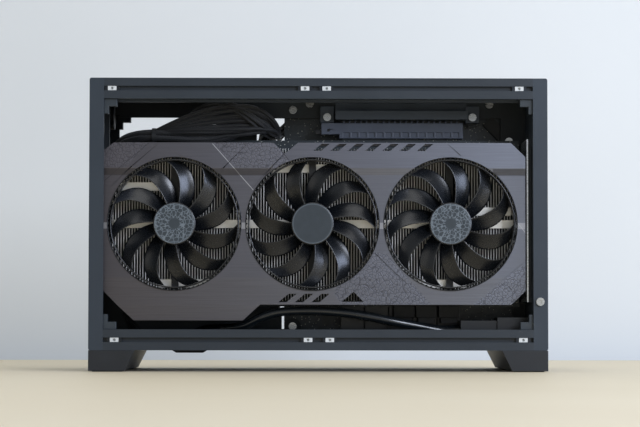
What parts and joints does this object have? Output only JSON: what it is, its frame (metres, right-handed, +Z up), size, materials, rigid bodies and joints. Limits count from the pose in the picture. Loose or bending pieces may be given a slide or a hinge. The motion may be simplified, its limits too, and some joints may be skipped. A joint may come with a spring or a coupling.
{
  "type": "sandwich computer case",
  "caption": "Compact computer case with both side skins off, showing a graphics card with fans, its riser, cables, mainboard, cooler and power supply.",
  "frame": {"origin": "middle of the case's footprint, on the table under the feet", "axes": "+X to the rear panel, -Y to the open side that shows the graphics card, +Z up"},
  "size_m": [0.322, 0.1434, 0.2063],
  "materials": {
    "end_panel_paint": "satin",
    "rail_paint": "satin",
    "black_metal": "matte",
    "bright_steel": "satin",
    "white_plastic": "gloss",
    "foot_plastic": "matte",
    "pad_rubber": "matte",
    "standoff_brass": "satin",
    "circuit_board": "matte",
    "black_plastic": "matte",
    "dark_aluminium": "satin",
    "bare_aluminium": "satin",
    "copper": "satin",
    "nickel": "gloss",
    "fan_plastic": "satin",
    "shroud_metal": "satin",
    "cap_plastic": "gloss",
    "ribbon": "satin",
    "cable_jacket": "gloss",
    "cable_sleeve": "matte",
    "button_metal": "satin"
  },
  "bodies": {
    "chassis": {"front_panel": "end_panel_paint", "rear_panel": "end_panel_paint", "rail_top_near": "rail_paint", "rail_top_far": "rail_paint", "rail_bottom_near": "rail_paint", "rail_bottom_far": "rail_paint", "corner_brackets": "black_metal", "case_screws": "bright_steel", "panel_clips": "white_plastic", "clip_springs": "bright_steel", "foot_front": "foot_plastic", "foot_rear": "foot_plastic", "foot_pads": "pad_rubber", "top_skin": "black_metal", "bottom_skin": "black_metal", "spine": "black_metal", "board_standoffs": "standoff_brass", "spine_screws": "bright_steel", "mainboard": "circuit_board", "board_connectors": "black_plastic", "board_heatsinks": "dark_aluminium", "io_ports": "bright_steel", "memory_modules": "black_plastic", "cooler_base": "copper", "cooler_fins": "bare_aluminium", "cooler_fan_frame": "fan_plastic", "card_shroud": "shroud_metal", "fan_mounts": "black_plastic", "card_heatsink": "bare_aluminium", "card_heat_pipes": "nickel", "card_board": "circuit_board", "card_backplate": "shroud_metal", "card_bracket": "bright_steel", "card_ports": "bright_steel", "card_power_sockets": "black_plastic", "power_plugs": "black_plastic", "riser_socket": "black_plastic", "riser_board": "circuit_board", "riser_bracket": "black_metal", "riser_ribbon": "ribbon", "riser_plug": "black_plastic", "psu_case": "black_metal", "psu_grille": "bright_steel", "psu_sockets": "black_plastic", "power_inlet": "black_plastic", "power_lead": "cable_jacket", "lead_plugs": "black_plastic", "cable_loom": "cable_sleeve", "cable_ties": "black_plastic", "button_holder": "black_plastic"},
    "fan_left": {"card_rotor_left": "fan_plastic", "hub_cap_left": "cap_plastic"},
    "fan_middle": {"card_rotor_middle": "fan_plastic", "hub_cap_middle": "cap_plastic"},
    "fan_right": {"card_rotor_right": "fan_plastic", "hub_cap_right": "cap_plastic"},
    "cooler_fan": {"cooler_rotor": "fan_plastic"},
    "psu_fan": {"psu_rotor": "fan_plastic"},
    "button": {"power_button": "button_metal"},
    "latch": {"riser_latch": "black_plastic"}
  },
  "joints": [
    {"name": "left_fan_spin", "type": "hinge", "parent": "chassis", "child": "fan_left", "pos_m": [-0.1015, -0.058, 0.1041], "axis": [0, 1, 0], "continuous": true},
    {"name": "middle_fan_spin", "type": "hinge", "parent": "chassis", "child": "fan_middle", "pos_m": [-0.00415, -0.058, 0.1041], "axis": [0, 1, 0], "continuous": true},
    {"name": "right_fan_spin", "type": "hinge", "parent": "chassis", "child": "fan_right", "pos_m": [0.0932, -0.058, 0.1041], "axis": [0, 1, 0], "continuous": true},
    {"name": "cooler_fan_spin", "type": "hinge", "parent": "chassis", "child": "cooler_fan", "pos_m": [0.0595, 0.06, 0.1215], "axis": [0, 1, 0], "continuous": true},
    {"name": "supply_fan_spin", "type": "hinge", "parent": "chassis", "child": "psu_fan", "pos_m": [-0.0903, 0.058, 0.0906], "axis": [0, 1, 0], "continuous": true},
    {"name": "button_press", "type": "slide", "parent": "chassis", "child": "button", "axis": [1, 0, 0], "range_m": [0, 0.0012], "stiffness_N_per_m": 600},
    {"name": "latch_turn", "type": "hinge", "parent": "chassis", "child": "latch", "pos_m": [0.0074, -0.0166, 0.1737], "axis": [0, 1, 0], "range_deg": [0, 25]}
  ]
}
